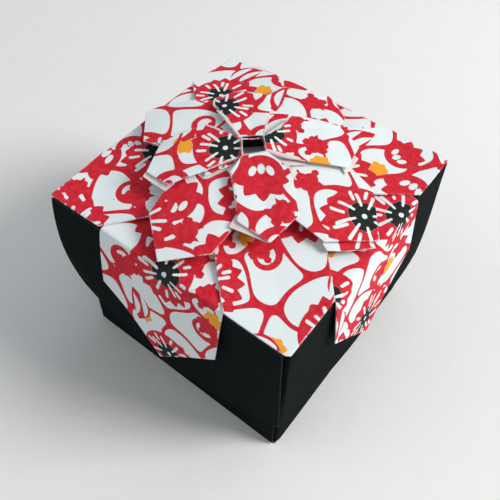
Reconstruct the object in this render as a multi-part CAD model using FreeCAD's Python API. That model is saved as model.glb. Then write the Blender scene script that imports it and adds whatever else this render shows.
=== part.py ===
import FreeCAD, Part
import math
import os

# Paper gift box in the masu fold, with a slip-on lid and a folded paper flower over the lid.
# Millimetres, +Z up, origin at the centre of the underside.
# The walls run along X and Y. The two walls that face Y are the end walls, which hold the corner gussets.

Vector = FreeCAD.Vector

# Driving dimensions of the two black boxes
lid_side = 53.0            # side of the lid's top, fold to fold
lid_taper = 1.0            # how much narrower the lid is at its open rim, corner to corner
lid_wall_height = 31.2     # from the lid's top down to its rim
lid_rim_height = 12.4      # how far the lid's rim stays above the surface
lid_bow_side = 2.0         # how far the rim of a side wall bows out at its middle
lid_bow_end = 1.6          # the same for an end wall
box_ply = 0.16             # thickness of the black paper
side_wall_plies = 2        # layers in a side wall and in a floor
end_wall_plies = 4         # layers in an end wall, with the gussets between them
fit_gap = 0.12             # free space between the lid's end walls and the base
base_flare = 0.9           # how much wider the base is at its floor than inside the lid
seat_gap = 0.15            # free height between the lid's inside and the base's rim
seam_width = 0.3           # open seam between two floor flaps
slit_width = 1.1           # slit beside the folded edge of an end wall, at the floor
slit_share = 0.85          # part of the wall height that the slit reaches

# Driving dimensions of the flower
cover_ply = 0.12           # thickness of the printed paper
petal_plies = 2            # layers in a petal or flap, whose edges are folded under
cover_gap = 0.1            # free space between the cover and the lid
layer_gap = 0.02           # free space where one ring of petals crosses the next
hole_side = 4.8            # square hole in the flower's middle
core_wall = 0.5            # wall of the twisted core that joins the rings
inner_rise = (8.0, 6.4, 5.0)    # height above the lid of the inner ring: at its middle, shoulders and tip
middle_rise = (6.4, 4.2, 2.5)   # the same for the middle ring
outer_rise = 4.8                # height of the outer ring at its middle
outer_waist_rise = 2.2          # height of the outer ring halfway out
flap_rise = 2.8                 # height of the flaps' sheet at its middle
bend_radius = 0.3               # inside radius of the flaps' bend over the lid's edge
flap_lean_end = 8.0             # degrees that a flap leans off an end wall
flap_lean_side = 5.5            # degrees that a flap leans off a side wall

# Sizes that follow
side_wall = side_wall_plies * box_ply
end_wall = end_wall_plies * box_ply
floor_thickness = side_wall_plies * box_ply
cover_thickness = petal_plies * cover_ply
lid_top = lid_rim_height + lid_wall_height
lid_rim_side = lid_side - lid_taper
base_side = lid_rim_side - 2 * (end_wall + fit_gap)
base_height = lid_top - floor_thickness - seat_gap

# Each ring of petals is the next smaller one turned by 45 degrees and scaled by the root of two.
# A petal has a square tip, shoulders at three quarters of its reach and is half its reach wide.
flap_reach = lid_side
outer_reach = flap_reach / math.sqrt(2)
middle_reach = outer_reach / math.sqrt(2)
inner_reach = middle_reach / math.sqrt(2)
SHOULDER = 0.75
HALF_WIDTH = 0.25
DIAGONALS = (45, 135)      # directions from corner to corner, in degrees from X


def prism(points, along):
    """Solid swept from a closed polygon."""
    wire = Part.makePolygon(points + points[:1])
    return Part.Face(wire).extrude(along)


def bowed_square(side, bow_x, bow_y, z):
    """Square wire whose sides bow outwards."""
    h = side / 2
    corners = [Vector(-h, -h, z), Vector(h, -h, z), Vector(h, h, z), Vector(-h, h, z)]
    middles = [
        Vector(0, -h - bow_y, z),
        Vector(h + bow_x, 0, z),
        Vector(0, h + bow_y, z),
        Vector(-h - bow_x, 0, z),
    ]
    edges = []
    for i, middle in enumerate(middles):
        start = corners[i]
        end = corners[(i + 1) % 4]
        bow = bow_y if i % 2 == 0 else bow_x
        curve = Part.Arc(start, middle, end) if bow > 0 else Part.LineSegment(start, end)
        edges.append(curve.toShape())
    return Part.Wire(edges)


def scaled_rectangle(wire, side, inset_x, inset_y):
    """Copy of a wire drawn in so that its corners lie inset_x and inset_y inside a square."""
    matrix = FreeCAD.Matrix()
    matrix.scale((side - 2 * inset_x) / side, (side - 2 * inset_y) / side, 1)
    return wire.transformGeometry(matrix)


def masu_box(levels, bow_x, bow_y):
    """One folded sheet, open upwards. levels are (height, side) from the floor to the rim, which bows out."""
    height, rim_side = levels[-1]
    floor_side = levels[0][1]
    wires = [bowed_square(side, 0, 0, z) for z, side in levels[:-1]]
    wires.append(bowed_square(rim_side, bow_x, bow_y, height))
    sides = [side for z, side in levels]
    inner_wires = [scaled_rectangle(wire, side, side_wall, end_wall) for wire, side in zip(wires, sides)]
    outside = Part.makeLoft(wires, True, True)
    inside = Part.makeLoft(inner_wires, True, True)
    widest = rim_side + floor_side
    above_floor = Part.makeBox(widest, widest, height, Vector(-widest / 2, -widest / 2, floor_thickness))
    box = outside.cut(inside.common(above_floor))
    return box.cut(Part.makeCompound(floor_seams(floor_side) + edge_slits(levels)))


def floor_seams(floor_side):
    """Gaps along the floor's diagonals, between the flaps that lie on the lower ply."""
    length = (floor_side - 2 * end_wall) * math.sqrt(2)
    corner = Vector(-length / 2, -seam_width / 2, floor_thickness - box_ply)
    seams = []
    for angle in DIAGONALS:
        seam = Part.makeBox(length, seam_width, box_ply, corner)
        seam.rotate(Vector(0, 0, 0), Vector(0, 0, 1), angle)
        seams.append(seam)
    return seams


def edge_slits(levels):
    """Tapered slits in the side walls, beside the folded edges of the end walls."""
    (low_z, low_side), (height, rim_side) = levels[-2:]
    slit_top = slit_share * height
    top_side = low_side + (rim_side - low_side) * (slit_top - low_z) / (height - low_z)
    low = levels[0][1] / 2
    high = top_side / 2
    start = 2 * box_ply
    depth = box_ply
    slits = []
    for x_sign in (-1, 1):
        for y_sign in (-1, 1):
            outline = [
                Vector(x_sign * (low - depth), y_sign * (low - start), floor_thickness),
                Vector(x_sign * (low - depth), y_sign * (low - start - slit_width), floor_thickness),
                Vector(x_sign * (high - depth), y_sign * (high - start), slit_top),
            ]
            slits.append(prism(outline, Vector(x_sign * low, 0, 0)))
    return slits


def petal_outline(reach):
    """Plan of one petal that points along X, from a wedge at the centre to a square tip."""
    w = HALF_WIDTH * reach
    s = SHOULDER * reach
    return [
        Vector(0, 0, 0),
        Vector(w, -w, 0),
        Vector(s, -w, 0),
        Vector(reach, 0, 0),
        Vector(s, w, 0),
        Vector(w, w, 0),
    ]


def petal(reach, heights):
    """Petal along X whose top runs through the given (distance, height) points."""
    top = [Vector(d, 0, lid_top + z) for d, z in heights]
    bottom = [Vector(p.x, 0, p.z - cover_thickness) for p in reversed(top)]
    strip = prism(top + bottom, Vector(0, reach, 0))
    strip.translate(Vector(0, -reach / 2, 0))
    column = prism(petal_outline(reach), Vector(0, 0, 3 * lid_top))
    return strip.common(column)


def ring(reach, heights, turn):
    """Four petals, the first one turned from X by the given angle."""
    petals = []
    for i in range(4):
        one = petal(reach, heights)
        one.rotate(Vector(0, 0, 0), Vector(0, 0, 1), turn + 90 * i)
        petals.append(one)
    return petals


def hanging_flap(lean, angle):
    """Flap that lies on the lid from its centre, bends over the edge and hangs down in a square tip."""
    half = lid_side / 2
    tilt = math.radians(90 - lean)
    outer = bend_radius + cover_thickness
    centre = Vector(half + cover_gap - bend_radius, 0, lid_top + cover_gap - bend_radius)
    drop = flap_reach - half

    def on_arc(radius, turn):
        return centre + Vector(radius * math.sin(turn), 0, radius * math.cos(turn))

    down = Vector(math.cos(tilt), 0, -math.sin(tilt))
    top_start = Vector(0, 0, lid_top + flap_rise)
    low_start = Vector(0, 0, lid_top + flap_rise - cover_thickness)
    out_end = on_arc(outer, tilt) + down * drop
    in_end = on_arc(bend_radius, tilt) + down * drop
    out_arc = Part.Arc(on_arc(outer, 0), on_arc(outer, tilt / 2), on_arc(outer, tilt))
    in_arc = Part.Arc(on_arc(bend_radius, tilt), on_arc(bend_radius, tilt / 2), on_arc(bend_radius, 0))
    edges = [
        Part.LineSegment(top_start, on_arc(outer, 0)).toShape(),
        out_arc.toShape(),
        Part.LineSegment(on_arc(outer, tilt), out_end).toShape(),
        Part.LineSegment(out_end, in_end).toShape(),
        Part.LineSegment(in_end, on_arc(bend_radius, tilt)).toShape(),
        in_arc.toShape(),
        Part.LineSegment(on_arc(bend_radius, 0), low_start).toShape(),
        Part.LineSegment(low_start, top_start).toShape(),
    ]
    w = HALF_WIDTH * flap_reach
    strip = Part.Face(Part.Wire(edges)).extrude(Vector(0, 2 * w, 0))
    strip.translate(Vector(0, -w, 0))
    tip = out_end.z
    shoulder = tip + (drop - (SHOULDER * flap_reach - half)) * math.sin(tilt)
    front = [
        Vector(-1, -w, lid_top + 2 * flap_rise),
        Vector(-1, -w, shoulder),
        Vector(-1, 0, tip),
        Vector(-1, w, shoulder),
        Vector(-1, w, lid_top + 2 * flap_rise),
    ]
    far = 2 * flap_reach
    wedge = [Vector(0, 0, 0), Vector(w, -w, 0), Vector(far, -w, 0), Vector(far, w, 0), Vector(w, w, 0)]
    flap = strip.common(prism(front, Vector(far, 0, 0))).common(prism(wedge, Vector(0, 0, 3 * lid_top)))
    flap.rotate(Vector(0, 0, 0), Vector(0, 0, 1), angle)
    return flap


def base_box():
    """Straight inside the lid, and a little wider towards its floor below the lid's rim."""
    floor_side = base_side + base_flare
    return masu_box([(0, floor_side), (lid_rim_height, base_side), (base_height, base_side)], 0, 0)


def lid_box():
    lid = masu_box([(0, lid_side), (lid_wall_height, lid_rim_side)], lid_bow_side, lid_bow_end)
    lid.rotate(Vector(0, 0, 0), Vector(1, 0, 0), 180)
    lid.translate(Vector(0, 0, lid_top))
    return lid


def flower_cover():
    """One sheet: three rings of petals and four flaps, joined by a square core round the hole."""
    on_flaps = cover_gap + cover_thickness + layer_gap + cover_thickness
    inner = zip((0, SHOULDER * inner_reach, inner_reach), inner_rise)
    middle = zip((0, SHOULDER * middle_reach, middle_reach), middle_rise)
    outer = [
        (0, outer_rise),
        (outer_reach / 2, outer_waist_rise),
        (SHOULDER * outer_reach, on_flaps),
        (outer_reach, cover_gap + cover_thickness),
    ]
    diagonal = DIAGONALS[0]
    rings = ring(outer_reach, outer, diagonal)
    rings += ring(middle_reach, list(middle), 0)
    rings += ring(inner_reach, list(inner), diagonal)
    flaps = [hanging_flap(flap_lean_side if i % 2 == 0 else flap_lean_end, 90 * i) for i in range(4)]
    core_side = hole_side + 2 * core_wall
    core_height = inner_rise[0] - flap_rise
    low = lid_top + flap_rise - cover_thickness
    hole_corner = Vector(-hole_side / 2, -hole_side / 2, lid_top + flap_rise)
    hole = Part.makeBox(hole_side, hole_side, lid_top, hole_corner)
    core = Part.makeBox(core_side, core_side, core_height, Vector(-core_side / 2, -core_side / 2, low))
    petals = rings[0].fuse(rings[1:] + [core])
    cover = petals.cut(hole).fuse(flaps)
    return cover.removeSplitter()


def main():
    os.makedirs("parts", exist_ok=True)
    pieces = {"base_box": base_box(), "lid_box": lid_box(), "flower_cover": flower_cover()}
    for name, shape in pieces.items():
        print(name, "solids", len(shape.Solids), "valid", shape.isValid(), "volume", round(shape.Volume, 2))
        shape.exportStep(f"parts/{name}.step")


main()
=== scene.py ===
import math

import bpy
import numpy as np
from mathutils import Matrix, Vector
from mathutils.geometry import delaunay_2d_cdt


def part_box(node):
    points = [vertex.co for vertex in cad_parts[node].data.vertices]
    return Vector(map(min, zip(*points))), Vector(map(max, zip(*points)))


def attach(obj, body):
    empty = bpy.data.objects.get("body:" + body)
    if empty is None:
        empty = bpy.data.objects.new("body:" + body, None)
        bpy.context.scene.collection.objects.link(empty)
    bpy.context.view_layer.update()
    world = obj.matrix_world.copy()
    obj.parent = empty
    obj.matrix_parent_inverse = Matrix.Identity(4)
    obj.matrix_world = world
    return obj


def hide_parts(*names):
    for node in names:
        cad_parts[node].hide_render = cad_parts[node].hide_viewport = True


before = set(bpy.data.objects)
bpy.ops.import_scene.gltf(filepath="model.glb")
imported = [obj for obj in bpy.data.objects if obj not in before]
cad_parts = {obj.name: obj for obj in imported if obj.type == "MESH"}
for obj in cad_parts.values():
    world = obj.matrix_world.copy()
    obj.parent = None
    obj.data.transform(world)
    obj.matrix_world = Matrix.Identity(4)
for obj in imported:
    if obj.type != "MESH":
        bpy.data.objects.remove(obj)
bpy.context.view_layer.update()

# A folded paper gift box: black base, black slip-on lid and a printed paper flower over the lid.
# Shapes are worked out in millimetres and written to the meshes in metres.
MM = 0.001

# Places from the frame
lid_low, lid_high = (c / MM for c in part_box("lid_box"))
base_low, base_high = (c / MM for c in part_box("base_box"))
LID_TOP = lid_high.z
LID_RIM = lid_low.z
BASE_TOP = base_high.z
BASE_FLOOR_SIDE = base_high.x - base_low.x

# Sizes of the folded sheets
LID_SIDE = 53.0
LID_RIM_SIDE = 52.0
LID_BOWS = (2.0, 3.1)     # how far the middle of the rim bows out, on the side walls and on the end walls
BASE_FLARE = 0.9          # how much wider the base is at the floor than inside the lid
BASE_SIDE = BASE_FLOOR_SIDE - BASE_FLARE
BLACK_PLY = 0.16          # thickness of the black paper
PRINT_PLY = 0.13          # thickness of the printed paper
BLACK_STEP = 1.0          # distance between the points of the black sheets' meshes
ROOT2 = math.sqrt(2)


def smooth(x):
    """Ease from 0 to 1."""
    x = np.clip(x, 0, 1)
    return x * x * (3 - 2 * x)


def ripple(x, y, seed, scale):
    """Slow seeded waves of about one unit, for paper that isn't quite flat."""
    draw = np.random.default_rng(seed)
    total = np.zeros(np.broadcast(x, y).shape)
    for _ in range(6):
        angle, phase = draw.uniform(0, 2 * math.pi, 2)
        k = 2 * math.pi / (scale * draw.uniform(0.6, 1.8))
        total += np.sin(k * (x * math.cos(angle) + y * math.sin(angle)) + phase)
    return total / 3


# The printed pattern: vines, flowers, leaves, curls and orange spots on a repeating tile

TILE = 46.0
PATTERN_SEED = 7


def wrapped(x, y, centre):
    """Offsets of points from a centre on the repeating tile."""
    dx, dy = x - centre[0], y - centre[1]
    return dx - TILE * np.round(dx / TILE), dy - TILE * np.round(dy / TILE)


def spread(count, seed):
    """Seeded points spread evenly over the tile."""
    draw = np.random.default_rng(seed)
    points = draw.uniform(0, TILE, (count, 2))
    for _ in range(60):
        dx, dy = wrapped(points[:, None, 0], points[:, None, 1], points.T)
        gap = np.hypot(dx, dy) + np.eye(count) * 2 * TILE
        push = np.clip(TILE / math.sqrt(count) - gap, 0, None) / gap * 0.2
        points = (points + np.column_stack([(dx * push).sum(1), (dy * push).sum(1)])) % TILE
    return points


def saw(angle, teeth):
    """Triangle wave from 0 to 1."""
    return np.abs(2 * (angle * teeth / (2 * math.pi) % 1) - 1)


def turned_about(x, y, centre, turn):
    """Wrapped offsets from a centre, turned into a motif's own directions."""
    dx, dy = wrapped(x, y, centre)
    c, s = math.cos(turn), math.sin(turn)
    return c * dx + s * dy, -s * dx + c * dy


class Pattern:
    """Each colour as distances in mm from its edge, positive inside."""

    NOWHERE = -9.0
    VINE = 0.40             # half the width of a vine
    CELL_CORNER = 0.62      # how round the white cells' corners are

    def __init__(self, seed):
        draw = np.random.default_rng(seed)
        full = 2 * math.pi
        self.cells = spread(25, seed)
        self.flowers = [(p, draw.uniform(0, full), draw.uniform(5.6, 6.5)) for p in spread(4, seed + 1)]
        shapes = (self.ivy, self.bud, self.split_leaf, self.ivy)
        places = [p for p in spread(19, seed + 2) if self.clear_of_flowers(p, 1.0)]
        self.motifs = [(shapes[i % 4], *self.on_vine(p, draw.uniform(-0.6, 0.6)), draw.uniform(0.9, 1.15))
                       for i, p in enumerate(places)]
        self.curls = [(*self.on_vine(p, 0), draw.choice([-1, 1]))
                      for p in spread(5, seed + 3) if self.clear_of_flowers(p, 2.0)]
        self.spots = [self.on_vine(p, draw.uniform(-0.5, 0.5)) for p in spread(5, seed + 4)]

    def clear_of_flowers(self, p, room):
        return all(np.hypot(*wrapped(p[0], p[1], centre)) > radius + room
                   for centre, _, radius in self.flowers)

    @staticmethod
    def warp(x, y):
        """Slow waves that make the vines curve."""
        k = 2 * math.pi / TILE
        x = x + 1.3 * np.sin(2 * k * y + 1) + 0.6 * np.sin(3 * k * (x + y))
        return x, y + 1.3 * np.sin(2 * k * x + 2) + 0.6 * np.sin(3 * k * (x - y) + 4)

    def on_vine(self, p, swing):
        """Point on the vine nearest to p, and a direction from it into a white cell, swung by an angle."""
        dx, dy = wrapped(self.cells[:, 0], self.cells[:, 1], p)
        a, b = np.argsort(np.hypot(dx, dy))[:2]
        wanted = p + np.array([dx[a] + dx[b], dy[a] + dy[b]]) / 2
        spot = wanted
        for _ in range(8):
            spot = spot + wanted - np.array(self.warp(*spot))
        return spot, math.atan2(dy[a] - dy[b], dx[a] - dx[b]) + swing

    def vines(self, x, y):
        """Bands between rounded cells."""
        k, corner = 2 * math.pi / TILE, self.CELL_CORNER
        x, y = self.warp(x, y)
        offsets = np.array([wrapped(x, y, c) for c in self.cells])
        own = np.argmin(np.hypot(offsets[:, 0], offsets[:, 1]), 0)
        dx, dy = (np.take_along_axis(offsets[:, i], own[None], 0)[0] for i in (0, 1))
        total = np.zeros(x.shape)
        for i, (ox, oy) in enumerate(offsets):
            sx, sy = dx - ox, dy - oy
            away = -(sx * (dx + ox) + sy * (dy + oy)) / (2 * np.maximum(np.hypot(sx, sy), 1e-6))
            total += np.where(own == i, 0, np.exp(-np.clip(away, 0, 40) / corner))
        width = self.VINE + 0.14 * np.sin(5 * k * x) * np.sin(4 * k * y)
        return width + corner * np.log(np.maximum(total, 1e-20))

    def flower(self, x, y, centre, turn, radius):
        """Red disc, toothed on one side, with white dashes round a black heart."""
        u, v = turned_about(x, y, centre, turn)
        r, a = np.hypot(u, v), np.arctan2(v, u)
        teeth = 1.25 * saw(a, 17) * smooth(0.9 + 1.4 * np.cos(a - 0.4))
        red = 0.8 * (radius + 0.6 * np.cos(a) + teeth - r)
        white, count = 0.5 - r, 16
        for i in range(count):
            t = 2 * math.pi * i / count + 0.1 * math.sin(5 * i)
            along, across = r * np.cos(a - t), r * np.sin(a - t)
            across = across + 0.04 * (along - 2) ** 2 * math.sin(3 * i)
            low = 3.7 if i % 2 else 1.9 + 0.3 * math.sin(7 * i)
            high = radius * (0.86 if i % 2 else 0.76) + 0.6 * math.cos(t)
            beyond = np.maximum(np.maximum(low - along, along - high), 0)
            white = np.maximum(white, 0.2 + 0.035 * np.clip(along - 1, 0, 4) - np.hypot(across, beyond))
        heart = 2.75 + 0.22 * saw(a, 9) + 0.15 * np.sin(3 * a) - r
        return red, heart, white

    def ivy(self, u, v):
        """Pointed leaf of three lobes, with its stem at the origin."""
        red = 1.0 - np.hypot(u, v)
        for turn, length in ((-0.95, 3.9), (-0.05, 5.3), (0.85, 4.2)):
            along, across = u * math.cos(turn) + v * math.sin(turn), v * math.cos(turn) - u * math.sin(turn)
            side = 2.3 * np.clip(1 - along / length, 0, 1) ** 0.8 + 0.5 * saw(along * 2.4, 2) - 0.5
            red = np.maximum(red, np.minimum(side - np.abs(across), along))
        return red, np.full(u.shape, self.NOWHERE)

    def bud(self, u, v):
        """Round bud with a jagged crown and three white seeds."""
        a = np.arctan2(v, u)
        red = (1 + 0.34 * saw(a, 10) * smooth(0.3 + 1.3 * np.cos(a)) - np.hypot(u / 3.6, v / 3.4)) * 3.0
        white = np.full(u.shape, self.NOWHERE)
        for i in (-1, 0, 1):
            seed = np.hypot((u + 1.2 - 0.45 * abs(i)) / 0.95, (v - 1.55 * i - 0.25 * i * u) / 0.56)
            white = np.maximum(white, (1 - seed) * 0.56)
        return red, white

    def split_leaf(self, u, v):
        """Pointed oval whose two white halves are parted by its rib."""
        lean = v - 0.06 * u * u
        red = 2.35 * (1 - (u / 4.9) ** 2) - np.abs(lean)
        white = 0.72 * (1 - ((np.abs(u + 0.3 * np.sign(lean))) / 3.4) ** 2) - np.abs(np.abs(lean) - 1.05)
        return red, white

    def curl(self, x, y, centre, turn, hand):
        """Hook that winds in from a vine to a round knob."""
        u, v = turned_about(x, y, centre, turn)
        u, v = u - 2.6, v * hand
        share = (np.arctan2(v, u) + math.pi) / (2 * math.pi)
        hook = 0.35 + 0.4 * share - np.abs(np.hypot(u, v) - 1.1 - 2.1 * share)
        hook = np.minimum(hook, 8 * (1 - share))
        return np.maximum(hook, 0.8 - np.hypot(u + 1.1, v))

    def spot(self, x, y, centre, turn):
        """Orange blob with one jagged side."""
        u, v = turned_about(x, y, centre, turn)
        u = u - 1.5
        a = np.arctan2(v, u)
        return (1 + 0.25 * saw(a, 8) * smooth(0.5 + np.cos(a)) - np.hypot(u / 2.2, v / 1.7)) * 1.7

    def read(self, x, y):
        """Distances of the red, black and orange parts."""
        red = self.vines(x, y)
        white, black, orange = (np.full(x.shape, self.NOWHERE) for _ in range(3))
        for c in self.curls:
            red = np.maximum(red, self.curl(x, y, *c))
        for shape, centre, turn, size in self.motifs:
            leaf, cut = (d * size for d in shape(*(c / size for c in turned_about(x, y, centre, turn))))
            red, white = np.maximum(red, leaf), np.maximum(np.minimum(white, -leaf), cut)
        for p in self.spots:
            orange = np.maximum(orange, self.spot(x, y, *p))
        for p in self.flowers:
            disc, heart, cut = self.flower(x, y, *p)
            red, black = np.maximum(red, disc), np.maximum(black, heart)
            white = np.maximum(np.minimum(white, -disc), cut)
            orange = np.minimum(orange, -disc)
        orange = np.minimum(orange, -red)
        red = np.minimum(np.minimum(red, -white), -black)
        return np.column_stack([red, np.minimum(black, -white), orange])


# Meshing of thin sheets

def along_edges(outline, step, rows):
    """Points round a closed outline, a step apart, with one wherever a row crosses it."""
    points = []
    for a, b in zip(outline, outline[1:] + outline[:1]):
        a, b = np.array(a, float), np.array(b, float)
        cuts = set(np.linspace(0, 1, max(1, math.ceil(np.linalg.norm(b - a) / step)) + 1)[:-1])
        if abs(b[0] - a[0]) > 1e-9:
            cuts |= {t for t in ((r - a[0]) / (b[0] - a[0]) for r in rows) if 0.001 < t < 0.999}
        points += [a + (b - a) * t for t in sorted(cuts)]
    return np.array(points)


def inside(points, outline):
    """Which points lie inside a polygon."""
    x, y = points.T
    found = np.zeros(len(points), bool)
    for (x0, y0), (x1, y1) in zip(outline, outline[1:] + outline[:1]):
        if y0 != y1:
            crosses = (y0 > y) != (y1 > y)
            found ^= crosses & (x < (x1 - x0) * (y - y0) / (y1 - y0) + x0)
    return found


def edge_distance(points, outline):
    """Distance of each point from the polygon's edges."""
    best = np.full(len(points), 1e9)
    for a, b in zip(outline, outline[1:] + outline[:1]):
        a, b = np.array(a, float), np.array(b, float)
        t = np.clip((points - a) @ (b - a) / max((b - a) @ (b - a), 1e-12), 0, 1)
        best = np.minimum(best, np.linalg.norm(points - a - t[:, None] * (b - a), axis=1))
    return best


def fill(outline, border, step, rows):
    """Points inside an outline: a staggered grid, with a denser line of points along each row."""
    low, high = border.min(0), border.max(0)
    gap = step * math.sqrt(3) / 2
    ys, grids = np.arange(low[1] + gap / 2, high[1], gap), []
    for i, y in enumerate(ys):
        xs = np.arange(low[0] + step * (0.3 + 0.5 * (i % 2)), high[0], step)
        grids.append(np.column_stack([xs, np.full(len(xs), y)]))
    grid = np.concatenate(grids)
    for r in rows:
        grid = grid[abs(grid[:, 0] - r) > step * 0.45]
    for r in rows:
        lane = np.arange(low[1] + step / 2, high[1], step)
        grid = np.concatenate([grid, np.column_stack([np.full(len(lane), r), lane])])
    grid = grid[inside(grid, outline)]
    return grid[edge_distance(grid, outline) > step * 0.4]


def triangulate(border, grid):
    """Triangles over the border polygon and its inner points, facing up."""
    points = [Vector(p) for p in np.concatenate([border, grid])]
    found = delaunay_2d_cdt(points, [], [list(range(len(border)))], 1, 1e-7, False)
    if len(found[0]) != len(points):
        raise ValueError("the outline touches itself")
    return np.array(found[2])


# Sides of a sheet, as material slots
FACE, REVERSE = 0, 1

# Extra wear at the corners of a panel, as mm taken off the distance from its edge, and how far it reaches
CORNER_WEAR, CORNER_WEAR_REACH = 0.16, 0.8


class Sheet:
    """Collects panels of paper into one mesh."""

    def __init__(self):
        self.points, self.faces, self.flat, self.folds, self.kinds = [], [], [], [], []
        self.count = 0

    def add(self, points, faces, flat, folds, kinds):
        self.points.append(points)
        self.flat.append(flat)
        self.folds.append(folds)
        self.faces += [tuple(int(i) + self.count for i in f) for f in faces]
        self.kinds += kinds
        self.count += len(points)

    def panel(self, outline, place, thick, step, under_step=None, rows=(), bulge=None, to_print=None,
              top=FACE, under=FACE, creases=()):
        """Closed panel. outline is in the flat sheet's (s, w); place turns (s, w) into 3-D points.
        thick is the thickness, or a function of (s, w, points), measured down from the top side."""
        border = along_edges(outline, step, rows)
        top_grid = fill(outline, border, step, rows)
        low_grid = fill(outline, border, under_step or step, rows)
        n = len(border)
        ahead, behind = np.roll(border, -1, 0), np.roll(border, 1, 0)
        run = ahead - behind
        out = np.column_stack([run[:, 1], -run[:, 0]])
        turn = np.sign(np.sum((ahead[:, 0] - border[:, 0]) * (ahead[:, 1] + border[:, 1])))
        out *= -turn / np.maximum(np.linalg.norm(out, axis=1), 1e-9)[:, None]

        def surface(p):
            e = 0.02
            at = place(p[:, 0], p[:, 1])
            ds = place(p[:, 0] + e, p[:, 1]) - place(p[:, 0] - e, p[:, 1])
            dw = place(p[:, 0], p[:, 1] + e) - place(p[:, 0], p[:, 1] - e)
            normal = np.cross(ds, dw)
            normal /= np.maximum(np.linalg.norm(normal, axis=1), 1e-12)[:, None]
            depth = thick(p[:, 0], p[:, 1], at) if callable(thick) else np.full(len(p), float(thick))
            return at, normal, depth, ds, dw

        all_top, all_low = np.concatenate([border, top_grid]), np.concatenate([border, low_grid])
        top_at, top_n, _, ds, dw = surface(all_top)
        low_at, low_n, depth, _, _ = surface(all_low)
        top_faces = triangulate(border, top_grid)
        low_faces = triangulate(border, low_grid) + len(all_top)
        outward = ds[:n] * out[:, :1] + dw[:n] * out[:, 1:]
        outward /= np.maximum(np.linalg.norm(outward, axis=1), 1e-12)[:, None]
        swell = np.ones(n) if bulge is None else bulge(border[:, 0], border[:, 1])
        half = depth[:n] / 2
        rings, first = [np.arange(n)], len(all_top) + len(all_low)
        extra = []
        for angle in (45, 90, 135):
            c, s = math.cos(math.radians(angle)), math.sin(math.radians(angle))
            ring = top_at[:n] - top_n[:n] * (half * (1 - c))[:, None] + outward * (half * s * swell)[:, None]
            rings.append(first + len(extra) * n + np.arange(n))
            extra.append(ring)
        rings.append(len(all_top) + np.arange(n))
        faces = [tuple(f) for f in top_faces] + [tuple(f[::-1]) for f in low_faces]
        kinds = [top] * len(top_faces) + [under] * len(low_faces) + [top] * (4 * n)
        for a, b in zip(rings, rings[1:]):
            faces += list(zip(a, b, np.roll(b, -1), np.roll(a, -1)))
        points = np.concatenate([top_at, low_at - low_n * depth[:, None]] + extra)
        flat = np.concatenate([all_top, all_low] + [border] * 3)
        folds = edge_distance(flat, outline)
        for row in creases:
            folds = np.minimum(folds, np.abs(flat[:, 0] - row))
        corner = np.min([np.hypot(*(flat - c).T) for c in outline], 0)
        folds = folds - CORNER_WEAR * np.exp(-(corner / CORNER_WEAR_REACH) ** 2)
        self.add(points, faces, flat if to_print is None else to_print(flat), folds, kinds)

    def roll(self, centres, half_width, half_height, kind, steps=24, sides=12):
        """Soft roll of paper along a few points, pointed at its ends."""
        centres = np.array(centres, float)
        reach = np.r_[0, np.cumsum(np.linalg.norm(np.diff(centres, axis=0), axis=1))]
        spots = np.linspace(0, reach[-1], steps)
        curve = np.column_stack([np.interp(spots, reach, c) for c in centres.T])
        for _ in range(6):
            curve[1:-1] = (curve[:-2] + 2 * curve[1:-1] + curve[2:]) / 4
        ahead = np.gradient(curve, axis=0)
        across = np.cross(ahead, (0, 0, 1))
        across /= np.linalg.norm(across, axis=1)[:, None]
        up = np.cross(across, ahead)
        up /= np.linalg.norm(up, axis=1)[:, None]
        size = np.sqrt(np.clip(1 - np.abs(np.linspace(-1, 1, steps)) ** 3, 0.004, 1))[:, None]
        angles = np.linspace(0, 2 * math.pi, sides, endpoint=False)
        points = np.concatenate([
            curve + size * (across * half_width * math.cos(a) + up * half_height * math.sin(a))
            for a in angles])
        faces = []
        for j in range(sides):
            k = (j + 1) % sides
            for i in range(steps - 1):
                faces.append((j * steps + i, j * steps + i + 1, k * steps + i + 1, k * steps + i))
        faces.append(tuple(j * steps for j in range(sides)))
        faces.append(tuple(j * steps + steps - 1 for j in reversed(range(sides))))
        flat = np.column_stack([np.tile(spots, sides), np.repeat(angles * half_width, steps)])
        self.add(points, faces, flat, np.full(len(points), 9.0), [kind] * len(faces))

    def to_object(self, name, materials, pattern=None, shape=None):
        mesh = bpy.data.meshes.new(name)
        points = np.concatenate(self.points)
        mesh.from_pydata(((points if shape is None else shape(points)) * MM).tolist(), [], self.faces)
        spots = np.concatenate(self.flat)
        flat = mesh.attributes.new("flat", "FLOAT_VECTOR", "POINT")
        level = np.column_stack([spots, np.zeros(len(spots))])
        flat.data.foreach_set("vector", level.astype(np.float32).ravel())
        fold = mesh.attributes.new("fold", "FLOAT", "POINT")
        fold.data.foreach_set("value", np.concatenate(self.folds).astype(np.float32))
        if pattern:
            ink = mesh.attributes.new("ink", "FLOAT_VECTOR", "POINT")
            ink.data.foreach_set("vector", pattern.read(*spots.T).astype(np.float32).ravel())
        for material in materials:
            mesh.materials.append(material)
        mesh.polygons.foreach_set("material_index", np.array(self.kinds, np.int32))
        mesh.polygons.foreach_set("use_smooth", np.ones(len(self.faces), bool))
        mesh.update()
        mesh.set_sharp_from_angle(angle=math.radians(50))
        piece = bpy.data.objects.new(name, mesh)
        bpy.context.scene.collection.objects.link(piece)
        return piece


def turned(points, degrees):
    """Points turned about the Z axis."""
    c, s = math.cos(math.radians(degrees)), math.sin(math.radians(degrees))
    x, y, z = points.T
    return np.column_stack([c * x - s * y, s * x + c * y, z])


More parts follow.
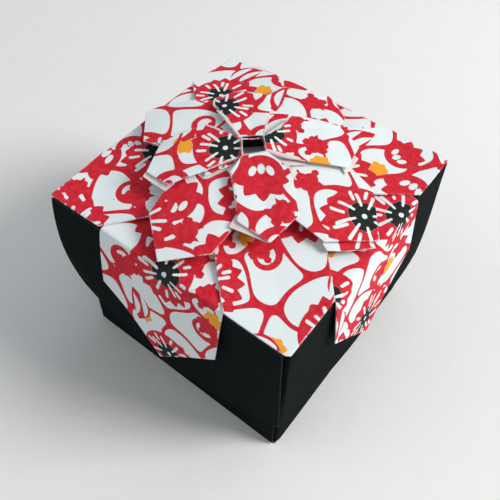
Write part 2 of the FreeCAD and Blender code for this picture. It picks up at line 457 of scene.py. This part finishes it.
class Path:
    """Line in the (d, z) plane made of straight runs and arcs, read by its length."""

    def __init__(self, d, z, heading):
        self.at, self.heading = [(d, z)], heading
        self.s = [0.0]
        self.rows = []

    def run(self, length):
        a = math.radians(self.heading)
        d, z = self.at[-1]
        self.at.append((d + length * math.cos(a), z + length * math.sin(a)))
        self.s.append(self.s[-1] + length)
        return self

    def bend(self, radius, degrees, steps=6):
        self.rows.append(self.s[-1])
        for _ in range(steps):
            self.heading += degrees / steps / 2
            self.run(2 * radius * math.sin(math.radians(abs(degrees) / steps / 2)))
            self.heading += degrees / steps / 2
            self.rows.append(self.s[-1])
        return self

    def read(self, s):
        at = np.array(self.at)
        return np.interp(s, self.s, at[:, 0]), np.interp(s, self.s, at[:, 1])


# The two black boxes

CREASE = 0.25           # radius of a sharp fold in the black paper
TUCK_RADIUS = 0.35      # radius of the fold that tucks a gusset in at a corner
FLOOR_SEAM = 0.3        # distance of a floor flap's end from the middle

# How far an end wall's folded edges draw in next to its floor: the edge on its w > 0 side, then the other
LID_INSETS = (0.1, 1.2)
BASE_INSETS = (0.7, 0.7)
RIM_RADIUS = (0.07, 0.2)   # the same at the rim of a side wall and of an end wall, which holds the gussets
GUSSET_DEPTH = 6.0


def masu(sheet, floor_side, rim_side, height, bows, slit, insets, upside_down, seed, step):
    """One black sheet in the masu fold, open upwards, or turned over onto its floor."""
    ply = BLACK_PLY
    rim_half, floor_half = rim_side / 2 - ply, floor_side / 2 - ply
    lean = math.degrees(math.atan((floor_half - rim_half) / height))
    for side in range(4):
        end_wall = side % 2 == 1
        rim = RIM_RADIUS[side % 2]
        path = Path(0, ply, 0).run(floor_half - CREASE)
        path.bend(CREASE, 90 + lean)
        start = path.s[-1]
        path.run((height - rim - 2 * ply - CREASE) / math.cos(math.radians(lean)))
        top = path.s[-1]
        path.bend(rim, 180)
        inner = path.s[-1]
        path.run((height - rim - 2 * ply - CREASE - 0.02) / math.cos(math.radians(lean)))
        path.bend(CREASE, -90 - lean)
        last = path.s[-1]
        path.run(path.at[-1][0] - FLOOR_SEAM)
        end = path.s[-1]
        bow = bows[side % 2]
        fold = floor_half - (0 if end_wall else ply)
        in_half = floor_half - 2 * RIM_RADIUS[1 - side % 2] - 2 * ply - 0.3

        def place(s, w, end_wall=end_wall, path=path, bow=bow, fold=fold, side=side,
                  start=start, inner=inner):
            d, z = path.read(s)
            up = np.clip(z / height, 0, 1)
            limit = fold + (rim_half - floor_half) * up - slit(up) * (not end_wall)
            on_wall = (s > start - CREASE) & (s < inner)
            over = np.where(on_wall & (not end_wall), np.maximum(np.abs(w) - limit, 0), 0)
            r = TUCK_RADIUS
            angle = np.minimum(over / r, math.pi / 2)
            drawn_in = np.where(w > 0, *insets) * end_wall * (1 - up)
            across = (np.abs(w) - over + r * np.sin(angle)) * (1 - drawn_in / fold)
            inward = r * (1 - np.cos(angle)) + np.maximum(over - r * math.pi / 2, 0)
            swell = bow * up ** 1.3 * (1 - np.clip(np.abs(w) / floor_half, 0, 1) ** 1.6)
            wave = 0.09 * ripple(w, z, seed + side, 26) * np.sin(math.pi * up)
            out = d - inward + swell + wave
            points = turned(np.column_stack([out, np.sign(w) * across, z]), 90 * side)
            if upside_down:
                points *= (1, -1, -1)
                points[:, 2] += LID_TOP
            return points

        h0, h1 = fold + ply * end_wall, fold + ply * end_wall + rim_half - floor_half
        half = [(0.02, 0.0), (start - CREASE, floor_half - 1.5 * CREASE), (start + 0.1, h0)]
        if not end_wall:
            half += [(start + 0.6, h0 + GUSSET_DEPTH), (top - 0.6, h1 + GUSSET_DEPTH)]
        half += [(top, h1), (inner, min(h1, in_half + rim_half - floor_half)), (last, in_half), (end, 0.05)]
        outline = half + [(s, -w) for s, w in half[:0:-1]]
        sheet.panel(outline, place, ply, step, rows=path.rows, creases=(start, (top + inner) / 2))


def lid_slit(up):
    """Half-open slit beside each folded edge of the lid, widest next to its top."""
    return 1.15 * np.clip(1 - up / 0.85, 0, 1) ** 0.8


def base_slit(up):
    """The same slit on the base, open as far as the lid's rim."""
    return 0.12 + 0.75 * np.clip(1 - up / 0.6, 0, 1) ** 0.5


def spread_foot(points):
    """Base whose walls lean out below the lid's rim."""
    points = points.copy()
    share = np.clip(1 - points[:, 2:] / LID_RIM, 0, 1)
    points[:, :2] *= 1 + (BASE_FLOOR_SIDE / BASE_SIDE - 1) * share
    return points


# Soft shape of the lid, as (corner's directions in x and y, how far its fold stands out at mid height,
# how far it stands out at the rim)
CORNER_SWELLS = (((-1, -1), 1.75, 0), ((1, 1), 0.35, 1.3), ((-1, 1), 0.6, 0.3), ((1, -1), 0.15, 0))
BACK_DROOP, BACK_INSET = 0.9, 0.7


def corner_reach(points, sx, sy, start, full):
    """0 to 1 towards one corner of the lid."""
    along_x = smooth((sx * points[:, 0] - start) / (full - start))
    return along_x * smooth((sy * points[:, 1] - start) / (full - start))


def settle(points):
    """Corners that stand out below the lid's top, and a back corner that droops."""
    points = points.copy()
    drop = np.clip((LID_TOP - points[:, 2]) / (LID_TOP - LID_RIM), 0, 1)
    for (sx, sy), middle, rim in CORNER_SWELLS:
        out = (middle * np.sin(math.pi * drop) ** 0.8 + rim * smooth(drop)) / ROOT2
        out *= corner_reach(points, sx, sy, 8, 26)
        points[:, 0] += sx * out
        points[:, 1] += sy * out
    back = smooth(((points[:, 1] - points[:, 0]) / ROOT2 - 24) / 13) * (1 - drop) ** 2
    points[:, 2] -= BACK_DROOP * back
    points[:, 0] += BACK_INSET / ROOT2 * back
    points[:, 1] -= BACK_INSET / ROOT2 * back
    return points


# The flower: rings of petals on the lid, each next ring smaller by the root of two and turned by 45 degrees

class Ring:
    """Four petals. The first points along turn, in degrees from X.
    heights are (distance from the centre, height over the lid)."""

    def __init__(self, reach, turn, heights, crown, valley, below=None):
        self.reach, self.turn, self.crown, self.valley, self.below = reach, turn, crown, valley, below
        self.half, self.shoulder = reach / 4, reach * 0.75
        ds = np.linspace(0, reach * 1.1, 400)
        zs = np.interp(ds, *np.array(heights, float).T)
        width = max(3, int(0.06 * reach / ds[1]))
        pad = np.pad(zs, width, "edge")
        self.ds, self.zs = ds, np.convolve(pad, np.ones(2 * width + 1) / (2 * width + 1), "valid")

    def rise(self, d, w):
        """Height of a petal's top over the lid."""
        u = np.clip(np.abs(w) / self.half, 0, 1.2)
        fall = self.crown * u ** 3 * smooth(d / self.shoulder)
        dip = self.valley * (1 - u) * smooth(d / self.half) * smooth((self.reach - d) / self.half)
        return np.interp(d, self.ds, self.zs) - fall - dip

    def height_at(self, x, y):
        """Height of the ring's top over the lid at plan points, and nothing where the ring isn't."""
        best = np.full(x.shape, -1.0)
        for i in range(4):
            a = math.radians(self.turn + 90 * i)
            d, w = x * math.cos(a) + y * math.sin(a), -x * math.sin(a) + y * math.cos(a)
            on = (d > 0) & (np.abs(w) < np.minimum(np.minimum(self.half, d), self.reach - d) + 0.01)
            best = np.where(on, self.rise(d, w), best)
        return best


# Heights of the rings over the lid, as (distance from the centre, height)
OUTER_HEIGHTS = [(0, 4.7), (18.7, 2.1), (28.1, 0.75), (37.5, 0.45)]
MIDDLE_HEIGHTS = [(0, 6.7), (19.9, 4.2), (26.5, 2.5)]
INNER_HEIGHTS = [(0, 7.72), (14.0, 6.3), (18.7, 5.0)]

# Distance between the points of the printed sheets' meshes
PRINT_STEP, QUICK_STEP = 0.28, 0.5

# Corners of the hole on the flower's top, in plan.
# Petal i of the inner ring starts between corners i and i + 1.
HOLE = ((1.8, 0.6), (-1.0, 3.4), (-3.9, 0.7), (-1.0, -2.7))

# Where the lower rings' petals begin, under the inner ring and clear of the hole
HIDDEN_START = 4.3

# Corners of each petal as (distance from the centre, place across), from its clockwise side round its tip.
# They follow the outlines of one folded box, so no two petals are alike.
PETALS = {
    "inner": (
        ((8.0, -2.9), (15.7, -4.4), (19.2, 0.9), (16.9, 6.7), (10.6, 8.5), (7.9, 8.7), (5.2, 5.2)),
        ((6.2, -2.5), (12.6, -4.5), (17.0, -4.5), (18.6, 0.4), (17.7, 5.8), (14.4, 6.0), (10.0, 4.1)),
        ((5.6, -5.9), (8.4, -8.5), (16.8, -6.1), (19.6, 0.7), (16.0, 4.6), (9.1, 3.0), (5.2, 1.4)),
        ((4.5, -5.1), (10.7, -4.9), (14.4, -5.1), (18.8, -0.3), (14.4, 5.2), (7.7, 5.3), (4.7, 5.2)),
    ),
    "middle": (
        ((6.6, -6.6), (19.7, -7.0), (26.4, -0.3), (20.0, 7.9), (13.9, 9.3), (8.0, 8.0)),
        ((6.6, -6.6), (17.7, -6.7), (20.3, -6.3), (23.1, -2.7),
         (24.8, 0.2), (21.2, 8.7), (15.3, 9.2), (8.5, 8.5)),
        ((6.6, -6.6), (19.9, -6.6), (25.3, -1.0), (26.1, 1.3), (20.2, 8.2), (16.8, 7.2), (6.8, 6.8)),
        ((8.0, -8.0), (14.2, -8.5), (20.4, -7.4), (26.4, -0.1), (20.4, 6.5), (13.2, 6.1), (6.2, 6.2)),
    ),
    "outer": (
        ((8.0, -8.0), (20.3, -7.9), (29.3, -8.1), (37.4, 0.0), (28.1, 9.3), (9.4, 9.4)),
        ((9.4, -9.4), (28.9, -8.6), (32.0, -4.9), (37.2, 0.4), (31.3, 7.0), (28.6, 9.5), (9.4, 9.4)),
        ((9.4, -9.4), (28.1, -9.4), (37.4, 0.0), (28.8, 8.5), (19.9, 8.4), (8.5, 8.5)),
        ((9.4, -9.4), (28.4, -9.1), (36.9, -0.5), (37.1, 0.3), (28.3, 9.0), (18.1, 9.4), (9.4, 9.4)),
    ),
}

# Where each petal and flap lies on the printed tile: (turn in degrees, u, v)
PRINT_SPOTS = {
    "inner": ((100, 8, 30), (200, 30, 12), (20, 13, 3), (250, 41, 33)),
    "middle": ((310, 3, 19), (65, 26, 26), (150, 36, 5), (0, 19, 19)),
    "outer": ((30, 12, 20), (120, 40, 8), (210, 22, 35), (285, 9, 11)),
    "flap": ((75, 5, 5), (170, 18, 30), (255, 33, 14), (340, 24, 40)),
    "web": ((0, 3, 3), (90, 9, 22), (180, 31, 9), (45, 14, 17)),
}


def print_spot(name, i):
    turn, u, v = PRINT_SPOTS[name][i]
    c, s = math.cos(math.radians(turn)), math.sin(math.radians(turn))
    return lambda flat: np.column_stack([c * flat[:, 0] - s * flat[:, 1] + u,
                                         s * flat[:, 0] + c * flat[:, 1] + v])


def painted_shade_cup_ink(flat):
    """Small stretch of the tile inside one flower's black heart, printed on the cup's walls as painted shade:
    black ink where the hole only lies in shadow.
    """
    centre, turn, _ = Pattern(PATTERN_SEED).flowers[0]
    return centre + 1.1 * np.array([math.cos(turn), math.sin(turn)]) + 0.03 * flat


def in_petal(x, y, ring, i):
    """Plan place in a petal's own (distance, across)."""
    a = math.radians(ring.turn + 90 * i)
    return x * math.cos(a) + y * math.sin(a), -x * math.sin(a) + y * math.cos(a)


def petal_place(ring, i, seed, lift=0.0):
    def place(d, w):
        z = LID_TOP + ring.rise(d, w) + 0.05 * ripple(d, w, seed + i, 12) + lift
        return turned(np.column_stack([d, w, z]), ring.turn + 90 * i)
    return place


def build_petals(sheet, name, ring, step, seed):
    for i in range(4):
        outline = list(PETALS[name][i])
        if name == "inner":
            outline = [in_petal(*HOLE[i], ring, i)] + outline + [in_petal(*HOLE[(i + 1) % 4], ring, i)]
        else:
            outline = [(HIDDEN_START, -HIDDEN_START)] + outline + [(HIDDEN_START, HIDDEN_START)]

        def thick(d, w, at):
            inner = edge_distance(np.column_stack([d, w]), outline)
            want = 2 * PRINT_PLY + 0.5 * np.clip(inner - 0.5, 0, 8)
            floor = np.maximum(ring.below.height_at(at[:, 0], at[:, 1]), 0) if ring.below else 0
            room = at[:, 2] - LID_TOP - floor - 0.06
            return np.clip(np.minimum(want, room), 2 * PRINT_PLY * 0.6, None)

        sheet.panel(outline, petal_place(ring, i, seed), thick, step, under_step=3 * step,
                    to_print=print_spot(name, i), under=REVERSE)


# Second layers that show past a petal's edge, as (ring, petal, corners, how far below the petal,
# whether its printed side is up)
UNDER_LAYERS = (
    ("inner", 3, ((11.5, -4.0), (13.2, -5.4), (14.9, -6.5), (18.6, -0.6), (14.0, -1.5)), 0.45, False),
    ("inner", 2, ((15.2, 1.0), (19.9, 0.4), (20.4, 1.3), (16.7, 5.3), (15.0, 4.3)), 0.5, False),
    ("inner", 2, ((3.6, 0.2), (9.2, 1.6), (9.6, 3.9), (5.6, 2.6), (3.2, 1.6)), 0.55, True),
    ("inner", 0, ((2.6, 0.6), (7.6, -2.0), (8.6, -3.3), (5.4, -3.4), (2.2, -1.2)), 0.7, False),
    ("inner", 0, ((15.0, -3.6), (15.3, -5.4), (16.6, -4.4), (18.6, -1.6), (17.6, -0.4)), 0.5, False),
    ("middle", 0, ((18.6, -5.6), (19.6, -7.3), (20.8, -7.7),
                   (23.6, -5.2), (26.6, -1.6), (25.6, -0.9)), 0.6, True),
)

# Rolled lips round the hole, as (petal of the inner ring, places along it, half width, drop)
LIPS = (
    (0, ((1.5, -0.3), (2.7, -0.8), (4.0, -1.5), (5.7, -2.1), (7.6, -2.6)), 0.50, -0.05),
    (1, ((12.9, 5.9), (10.0, 4.6), (6.6, 3.4), (3.3, 2.3)), 0.33, 0.05),
    (1, ((16.9, 6.0), (14.9, 6.2), (13.6, 6.0)), 0.18, 0.0),
    (2, ((8.4, -8.4), (6.6, -6.9), (5.2, -5.4)), 0.25, 0.05),
    (3, ((2.6, 3.3), (3.8, 4.6), (4.9, 5.3), (7.5, 5.5)), 0.24, 0.1),
    (1, ((3.6, -1.8), (7.0, -2.9), (11.5, -4.5)), 0.16, 0.0),
)


# Webs between the inner petals: heights, corners beyond the hole's, and the webs that show their print
WEB_REACH = 8
WEB_HEIGHTS = [(0, 7.4), (2, 7.1), (4, 6.4), (6.5, 5.7)]
WEB_CORNERS = [(3.8, -2.6), (6.3, -1.8), (6.8, 0.0), (6.3, 1.8), (3.8, 2.6)]
PRINTED_WEBS = (0, 3)

# Cup of the hole: its rim over the lid, its depth, and how much wider it gets downwards, as a share
CUP_RIM, CUP_DEPTH, CUP_OVERHANG = 7.7, 3.7, 0.4


def build_centre(sheet, rings, step):
    """Webs between the inner petals, their lips and second layers, and the cup of the hole, whose walls are
    inked black as painted shade.
    """
    inner = rings["inner"]
    for i in range(4):
        corner = np.array(HOLE[i])
        web = Ring(WEB_REACH, 0, WEB_HEIGHTS, 0, 0)
        d0, w0 = in_petal(*corner, web, i)
        outline = [(d0 + 0.1, w0)] + WEB_CORNERS
        sheet.panel(outline, petal_place(web, i, 70), 2 * PRINT_PLY, step, under_step=3 * step,
                    to_print=print_spot("web", i), top=FACE if i in PRINTED_WEBS else REVERSE, under=REVERSE)
    for name, i, corners, drop, printed in UNDER_LAYERS:
        sheet.panel(list(corners), petal_place(rings[name], i, 60, -drop), PRINT_PLY, 2 * step,
                    to_print=print_spot(name, i), top=FACE if printed else REVERSE, under=REVERSE)
    for i, places, half_width, drop in LIPS:
        d, w = np.array(places).T
        sheet.roll(petal_place(inner, i, 60, -drop)(d, w), half_width, 0.6 * half_width, REVERSE)
    rim, depth, overhang = np.array(HOLE), CUP_DEPTH, CUP_OVERHANG
    middle = rim.mean(0)
    for i in range(4):
        a, b = rim[i], rim[(i + 1) % 4]
        length = np.linalg.norm(b - a)

        def wall(s, w, a=a, b=b, length=length):
            share = (s / length)[:, None]
            spot = a + (b - a) * share
            spot = spot + (middle - spot) * (0.02 - overhang * (w / depth)[:, None])
            return np.column_stack([spot, LID_TOP + CUP_RIM - w])

        # The cup's walls take black ink from a flower's heart as painted shade, so the hole reads dark.
        sheet.panel([(0, 0), (length, 0), (length, depth), (0, depth)], wall, PRINT_PLY, 2 * step,
                    to_print=painted_shade_cup_ink, under=REVERSE)

    def bottom(x, y):
        crease = 0.12 * np.abs(np.sin(2 * np.arctan2(y - middle[1], x - middle[0]) + 0.4))
        return np.column_stack([x, y, LID_TOP + CUP_RIM - depth + 0.1 + crease])

    sheet.panel([tuple(middle + (c - middle) * (1 + overhang)) for c in rim], bottom, PRINT_PLY, 2 * step,
                to_print=print_spot("web", 0), top=REVERSE, under=REVERSE)


FLAP_RISE = 2.7           # height of the flaps' sheet over the lid, at its middle
FLAP_LEAN = {"side": 5.2, "end": 7.6}   # degrees that a flap leans off a wall
FLAP_BEND = 0.9           # radius of its bend over the lid's edge
FLAP_LIFT = 0.55          # height over the lid where the bend starts
FLAP_CLEAR = 0.42         # how far its sheet stands off the lid's side
FLAP_SPREAD = 0.4         # how much wider each side of it is at the bend


def build_flaps(sheet, step):
    half = LID_SIDE / 2
    for i in range(4):
        lean = FLAP_LEAN["end" if i % 2 else "side"]
        radius, lift = FLAP_BEND, FLAP_LIFT
        slope = math.degrees(math.atan((FLAP_RISE - lift) / (half - radius)))
        path = Path(0, FLAP_RISE, -slope).run((half - radius) / math.cos(math.radians(slope)))
        path.bend(radius, slope - 90 + lean, steps=8)
        edge = path.s[len(path.s) // 2]
        path.run(40)
        shift = half + FLAP_CLEAR - path.read(path.s[-2])[0]
        shoulder, tip = edge + 0.5 * half, edge + half

        def place(s, w, path=path, i=i, shift=shift, edge=edge):
            d, z = path.read(s)
            hang = np.clip((s - edge) / half, 0, 1)
            out = 0.35 * np.sin(math.pi * hang) * (w / (half / 2)) ** 2 + 0.05 * ripple(s, w, 90 + i, 14)
            d = d + shift * smooth(s / half) + out * (hang > 0)
            return turned(np.column_stack([d, w, LID_TOP + z]), 90 * i)

        w, wide = half / 2, half / 2 + FLAP_SPREAD
        outline = [(1.0, -1.0), (w, -w), (edge - 1, -wide), (edge + 1, -wide), (shoulder, -w), (tip, 0)]
        outline += [(s, -w) for s, w in outline[4:0:-1]] + [(1.0, 1.0)]
        sheet.panel(outline, place, 2 * PRINT_PLY, step, under_step=3 * step, rows=path.rows,
                    to_print=print_spot("flap", i), under=REVERSE)


# Materials

class Nodes:
    """Short way to build a material's node tree."""

    def __init__(self, name):
        self.material = bpy.data.materials.new(name)
        self.material.use_nodes = True
        self.tree = self.material.node_tree
        self.shader = self.tree.nodes["Principled BSDF"]

    def node(self, kind, **settings):
        node = self.tree.nodes.new(kind)
        for key, value in settings.items():
            setattr(node, key, value)
        return node

    def put(self, socket, value):
        if isinstance(value, bpy.types.NodeSocket):
            self.tree.links.new(value, socket)
        else:
            socket.default_value = value

    def math(self, operation, a, b=0.0, c=0.0, clamp=False):
        node = self.node("ShaderNodeMath", operation=operation, use_clamp=clamp)
        for socket, value in zip(node.inputs, (a, b, c)):
            self.put(socket, value)
        return node.outputs[0]

    def mix(self, share, a, b):
        node = self.node("ShaderNodeMix", data_type="RGBA")
        self.put(node.inputs["Factor"], share)
        for socket, value in ((node.inputs[6], a), (node.inputs[7], b)):
            self.put(socket, value if isinstance(value, bpy.types.NodeSocket) else (*value, 1))
        return node.outputs[2]

    def attribute(self, name, output):
        return self.node("ShaderNodeAttribute", attribute_name=name).outputs[output]

    def noise(self, where, per_mm, detail=2.0, stretch=(1, 1, 1)):
        """Noise with about per_mm waves in a millimetre of the flat sheet."""
        mapping = self.node("ShaderNodeMapping")
        self.put(mapping.inputs["Vector"], where)
        mapping.inputs["Scale"].default_value = stretch
        noise = self.node("ShaderNodeTexNoise")
        self.put(noise.inputs["Vector"], mapping.outputs[0])
        noise.inputs["Scale"].default_value = per_mm
        noise.inputs["Detail"].default_value = detail
        return noise.outputs["Fac"]

    def bump(self, height, distance_mm, strength):
        node = self.node("ShaderNodeBump")
        self.put(node.inputs["Height"], height)
        node.inputs["Distance"].default_value = distance_mm * MM
        node.inputs["Strength"].default_value = strength
        self.put(self.shader.inputs["Normal"], node.outputs[0])


PAPER_WHITE = (0.79, 0.85, 0.86)
RED_INK, RED_THIN = (0.60, 0.010, 0.024), (0.69, 0.038, 0.060)
BLACK_INK = (0.015, 0.017, 0.017)
ORANGE_INK = (0.90, 0.38, 0.035)
REVERSE_WHITE = (0.80, 0.74, 0.735)
WORN_WHITE = (0.84, 0.80, 0.80)


def printed_paper(name, reverse):
    """Soft white paper with red, black and orange ink on its face, which shows faintly on its back."""
    n = Nodes(name)
    flat = n.attribute("flat", "Vector")
    fibre = n.noise(flat, 5.0, 4.0)
    mottle = n.noise(flat, 0.9, 3.0)
    edges = n.node("ShaderNodeSeparateXYZ")
    n.put(edges.inputs[0], n.attribute("ink", "Vector"))
    jitter = n.math("MULTIPLY_ADD", fibre, 0.10, -0.05)
    soft = 0.16 if reverse else 0.07
    red, black, orange = (n.math("MULTIPLY_ADD", n.math("ADD", e, jitter), 1 / soft, 0.5, clamp=True)
                          for e in edges.outputs)
    thin = n.math("MULTIPLY_ADD", mottle, 2.2, -0.75, clamp=True)
    colour = n.mix(orange, PAPER_WHITE, ORANGE_INK)
    colour = n.mix(red, colour, n.mix(thin, RED_INK, RED_THIN))
    colour = n.mix(black, colour, BLACK_INK)
    if reverse:
        ghost = n.math("MULTIPLY", n.math("MAXIMUM", red, black), 0.16)
        colour = n.mix(ghost, REVERSE_WHITE, (0.66, 0.30, 0.33))
    else:
        patch = n.math("MULTIPLY_ADD", n.noise(flat, 0.35, 2.0), 4.0, -2.0)
        wear = n.math("ADD", n.math("MULTIPLY_ADD", n.attribute("fold", "Fac"), -5.5, 0.15),
                      n.math("MULTIPLY_ADD", fibre, 2.6, n.math("ADD", patch, -1.3)), clamp=True)
        colour = n.mix(n.math("MULTIPLY", wear, 0.8), colour, WORN_WHITE)
        speck = n.math("MULTIPLY_ADD", n.noise(flat, 9.0, 1.0), 14.0, -10.0, clamp=True)
        colour = n.mix(n.math("MULTIPLY", speck, 0.35), colour, WORN_WHITE)
    n.put(n.shader.inputs["Base Color"], colour)
    n.put(n.shader.inputs["Roughness"], n.math("MULTIPLY_ADD", fibre, 0.2, 0.62))
    n.shader.inputs["Specular IOR Level"].default_value = 0.15
    n.bump(n.math("ADD", n.math("MULTIPLY", fibre, 0.6), mottle), 0.05, 0.5)
    return n.material


BLACK_PAPER, BLACK_FIBRE = (0.0042, 0.0056, 0.0058), (0.030, 0.042, 0.046)
BLACK_WORN = (0.048, 0.062, 0.066)


def black_paper(name):
    """Matt black paper with fine pale fibres and greyed folds."""
    n = Nodes(name)
    flat = n.attribute("flat", "Vector")
    grain = n.noise(flat, 3.0, 5.0)
    cloud = n.noise(flat, 0.12, 2.0)
    strands = [n.noise(flat, 1.0, 1.0, stretch) for stretch in ((9, 1.4, 1), (1.3, 8, 1))]
    strand = n.math("MULTIPLY_ADD", n.math("MAXIMUM", *strands), 16.0, -11.6, clamp=True)
    fibres = n.math("MULTIPLY_ADD", grain, 0.35, n.math("MULTIPLY", strand, 0.30))
    colour = n.mix(fibres, BLACK_PAPER, BLACK_FIBRE)
    wear = n.math("ADD", n.math("MULTIPLY_ADD", n.attribute("fold", "Fac"), -3.2, 0.75),
                  n.math("MULTIPLY_ADD", grain, 2.0, -1.0), clamp=True)
    colour = n.mix(n.math("MULTIPLY", wear, 0.7), colour, BLACK_WORN)
    n.put(n.shader.inputs["Base Color"], colour)
    n.put(n.shader.inputs["Roughness"], n.math("MULTIPLY_ADD", cloud, 0.15, 0.62))
    n.shader.inputs["Specular IOR Level"].default_value = 0.008
    n.bump(n.math("ADD", grain, n.math("MULTIPLY", strand, 0.5)), 0.04, 0.6)
    return n.material


def floor_surface(name):
    """Plain pale paper-like ground."""
    n = Nodes(name)
    where = n.node("ShaderNodeTexCoord").outputs["Object"]
    tone = n.noise(where, 300.0, 3.0)
    n.put(n.shader.inputs["Base Color"], n.mix(tone, (0.84, 0.835, 0.82), (0.88, 0.875, 0.86)))
    n.shader.inputs["Roughness"].default_value = 0.9
    return n.material


# Camera, light and floor

CAMERA_AT = (0.0461567, -0.0636031, 0.1291600)
CAMERA_HEADING = 36.494
CAMERA_PITCH = 54.116
CAMERA_ROLL = 1.274
CAMERA_FOCUS_PX = 616.1
FRAME_PX = 500


def build_camera():
    data = bpy.data.cameras.new("camera")
    data.sensor_width = 36
    data.lens = CAMERA_FOCUS_PX * data.sensor_width / FRAME_PX
    data.clip_start, data.clip_end = 0.001, 10
    camera = bpy.data.objects.new("camera", data)
    turn = Matrix.Rotation(math.radians(CAMERA_HEADING), 4, "Z")
    turn = turn @ Matrix.Rotation(math.radians(90 - CAMERA_PITCH), 4, "X")
    turn = turn @ Matrix.Rotation(math.radians(CAMERA_ROLL), 4, "Z")
    camera.matrix_world = Matrix.Translation(CAMERA_AT) @ turn
    bpy.context.scene.collection.objects.link(camera)
    bpy.context.scene.camera = camera


def area_light(name, at, size, power, colour):
    data = bpy.data.lights.new(name, "AREA")
    data.shape, data.size, data.energy, data.color = "DISK", size, power, colour
    light = bpy.data.objects.new(name, data)
    light.location = at
    light.rotation_euler = (Vector((0, 0, 0.03)) - Vector(at)).to_track_quat("-Z", "Y").to_euler()
    bpy.context.scene.collection.objects.link(light)


def build_light():
    area_light("window", (0.50, 0.26, 0.46), 0.30, 4.2, (1.0, 0.985, 0.96))
    area_light("sky_fill", (0.15, 0.55, 0.85), 0.9, 1.9, (0.93, 0.97, 1.0))
    area_light("room_fill", (-0.55, -0.45, 0.50), 0.8, 1.3, (0.95, 0.98, 1.0))
    world = bpy.data.worlds.new("world")
    bpy.context.scene.world = world
    world.use_nodes = True
    world.node_tree.nodes["Background"].inputs["Color"].default_value = (0.9, 0.95, 1.0, 1)
    world.node_tree.nodes["Background"].inputs["Strength"].default_value = 0.30


def build_floor():
    mesh = bpy.data.meshes.new("floor")
    r = 2.0
    mesh.from_pydata([(-r, -r, 0), (r, -r, 0), (r, r, 0), (-r, r, 0)], [], [(0, 1, 2, 3)])
    floor = bpy.data.objects.new("floor", mesh)
    floor.location.z = -0.00003
    bpy.context.scene.collection.objects.link(floor)
    mesh.materials.append(floor_surface("floor"))


def dress(piece, body, node):
    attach(piece, body)
    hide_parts(node)
    print("TRIANGLES", piece.name, sum(len(p.vertices) - 2 for p in piece.data.polygons))


def main():
    black = black_paper("black_paper")
    printed = [printed_paper("printed_paper", False), printed_paper("printed_reverse", True)]
    pattern = Pattern(PATTERN_SEED)
    build_camera()
    build_light()
    build_floor()

    base = Sheet()
    masu(base, BASE_SIDE, BASE_SIDE, BASE_TOP, (0, 0), base_slit, BASE_INSETS, False, 10, BLACK_STEP)
    dress(base.to_object("base_sheet", [black], shape=spread_foot), "base", "base_box")

    lid = Sheet()
    masu(lid, LID_SIDE, LID_RIM_SIDE, LID_TOP - LID_RIM, LID_BOWS, lid_slit, LID_INSETS, True, 20, BLACK_STEP)
    dress(lid.to_object("lid_sheet", [black], shape=settle), "lid", "lid_box")

    step = PRINT_STEP
    flaps_top = Ring(LID_SIDE, 0, [(0, FLAP_RISE), (LID_SIDE / 2, 0.5), (LID_SIDE, 0.3)], 0, 0)
    outer = Ring(LID_SIDE / ROOT2, 45, OUTER_HEIGHTS, 0, 0.35, flaps_top)
    middle = Ring(LID_SIDE / 2, 0, MIDDLE_HEIGHTS, 0.3, 0.2, outer)
    inner = Ring(LID_SIDE / 2 / ROOT2, 45, INNER_HEIGHTS, 0.35, 0.45, middle)
    rings = Sheet()
    for name, ring, seed in (("outer", outer, 40), ("middle", middle, 50), ("inner", inner, 60)):
        build_petals(rings, name, ring, step, seed)
    build_centre(rings, {"inner": inner, "middle": middle}, step)
    dress(rings.to_object("flower_petals", printed, pattern, settle), "lid", "flower_cover")
    flaps = Sheet()
    build_flaps(flaps, step)
    dress(flaps.to_object("flower_flaps", printed, pattern, settle), "lid", "flower_cover")


main()
bpy.context.scene.view_settings.view_transform = "Standard"
